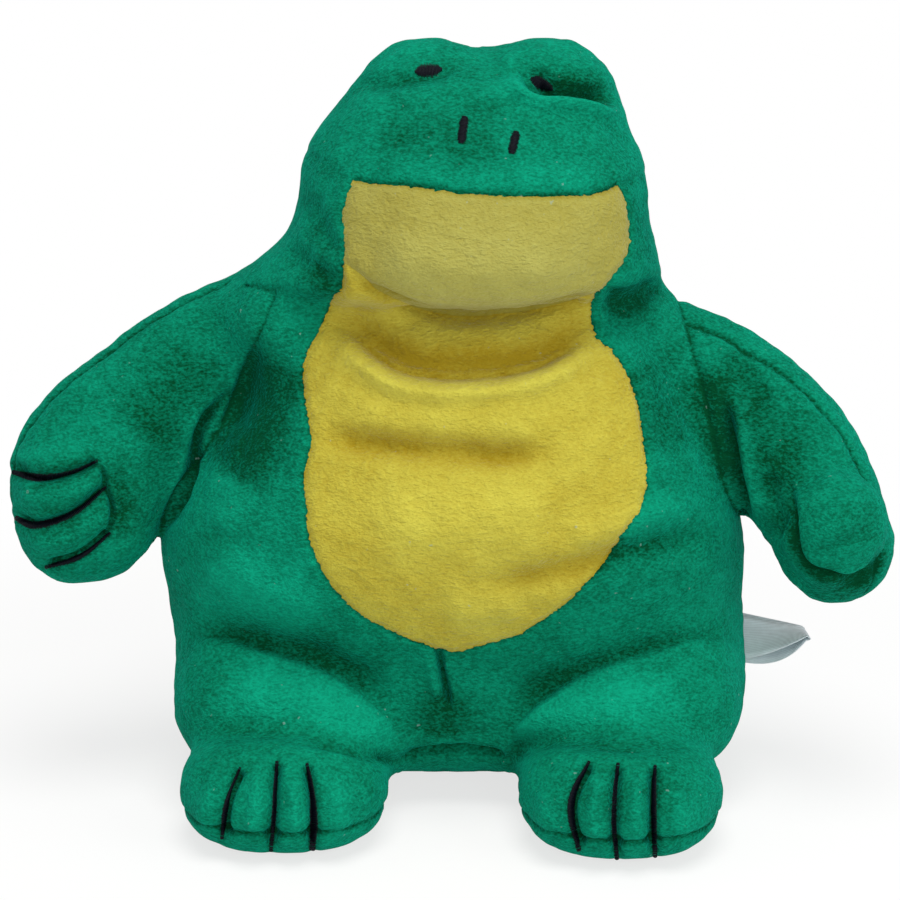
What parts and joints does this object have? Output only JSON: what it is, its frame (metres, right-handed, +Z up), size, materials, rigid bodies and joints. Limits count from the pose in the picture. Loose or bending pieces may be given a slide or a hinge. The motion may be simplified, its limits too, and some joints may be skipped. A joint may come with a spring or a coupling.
{
  "type": "plush frog",
  "caption": "Seated plush frog: a pellet-weighted velour body with turning head, arms and legs, and an embroidered face, fingers and toes.",
  "frame": {"origin": "on the floor in the middle of the seat panel's flat underside", "axes": "+Z up, -Y the way the frog faces, +X towards the frog's own left"},
  "size_m": [0.1817, 0.0986, 0.1556],
  "materials": {
    "green_velour": "short-pile knitted velour, kelly green",
    "yellow_velour": "short-pile knitted velour, yellow",
    "black_thread": "black satin-stitch embroidery thread",
    "filling": "white polyester fibre filling",
    "pouch_cloth": "woven pouch with plastic pellets in it",
    "satin": "white satin label ribbon, bare"
  },
  "bodies": {
    "torso": {"torso_filling": "filling", "pellet_pouch": "pouch_cloth", "seat_panel": "green_velour", "tummy_panel": "yellow_velour", "front_panel_left": "green_velour", "front_panel_right": "green_velour", "back_panel_left": "green_velour", "back_panel_right": "green_velour"},
    "label": {"label_loop": "satin"},
    "head": {"head_filling": "filling", "face_panel": "green_velour", "chin_panel": "yellow_velour", "head_back_left": "green_velour", "head_back_right": "green_velour", "eye_left": "black_thread", "eye_right": "black_thread", "nostril_left": "black_thread", "nostril_right": "black_thread"},
    "arm_left": {"arm_filling_left": "filling", "arm_front_panel_left": "green_velour", "arm_back_panel_left": "green_velour", "finger_line_left_1": "black_thread", "finger_line_left_2": "black_thread", "finger_line_left_3": "black_thread"},
    "leg_left": {"leg_filling_left": "filling", "foot_top_panel_left": "green_velour", "sole_panel_left": "green_velour", "toe_line_left_1": "black_thread", "toe_line_left_2": "black_thread", "toe_line_left_3": "black_thread"},
    "arm_right": {"arm_filling_right": "filling", "arm_front_panel_right": "green_velour", "arm_back_panel_right": "green_velour", "finger_line_right_1": "black_thread", "finger_line_right_2": "black_thread", "finger_line_right_3": "black_thread"},
    "leg_right": {"leg_filling_right": "filling", "foot_top_panel_right": "green_velour", "sole_panel_right": "green_velour", "toe_line_right_1": "black_thread", "toe_line_right_2": "black_thread", "toe_line_right_3": "black_thread"}
  },
  "joints": [
    {"name": "neck_nod", "type": "hinge", "parent": "torso", "child": "head", "pos_m": [0.004, 0, 0.08999], "axis": [1, 0, 0], "range_deg": [-15, 10], "stiffness_Nm_per_rad": 0.08},
    {"name": "shoulder_left", "type": "hinge", "parent": "torso", "child": "arm_left", "pos_m": [0.05178, 0, 0.0795], "axis": [0.3007, 0, -0.9537], "range_deg": [-30, 50], "stiffness_Nm_per_rad": 0.02},
    {"name": "hip_left", "type": "hinge", "parent": "torso", "child": "leg_left", "pos_m": [0.03261, -0.027, 0.017], "axis": [-1, 0, 0], "range_deg": [-25, 40], "stiffness_Nm_per_rad": 0.05},
    {"name": "shoulder_right", "type": "hinge", "parent": "torso", "child": "arm_right", "pos_m": [-0.04221, 0, 0.08745], "axis": [0.3665, 0, 0.9304], "range_deg": [-30, 50], "stiffness_Nm_per_rad": 0.02},
    {"name": "hip_right", "type": "hinge", "parent": "torso", "child": "leg_right", "pos_m": [-0.03261, -0.027, 0.017], "axis": [-1, 0, 0], "range_deg": [-25, 40], "stiffness_Nm_per_rad": 0.05},
    {"name": "label_flap", "type": "hinge", "parent": "torso", "child": "label", "pos_m": [0.06437, 0.004, 0.024], "axis": [0, 0, 1], "range_deg": [-50, 50], "stiffness_Nm_per_rad": 0.0001}
  ]
}
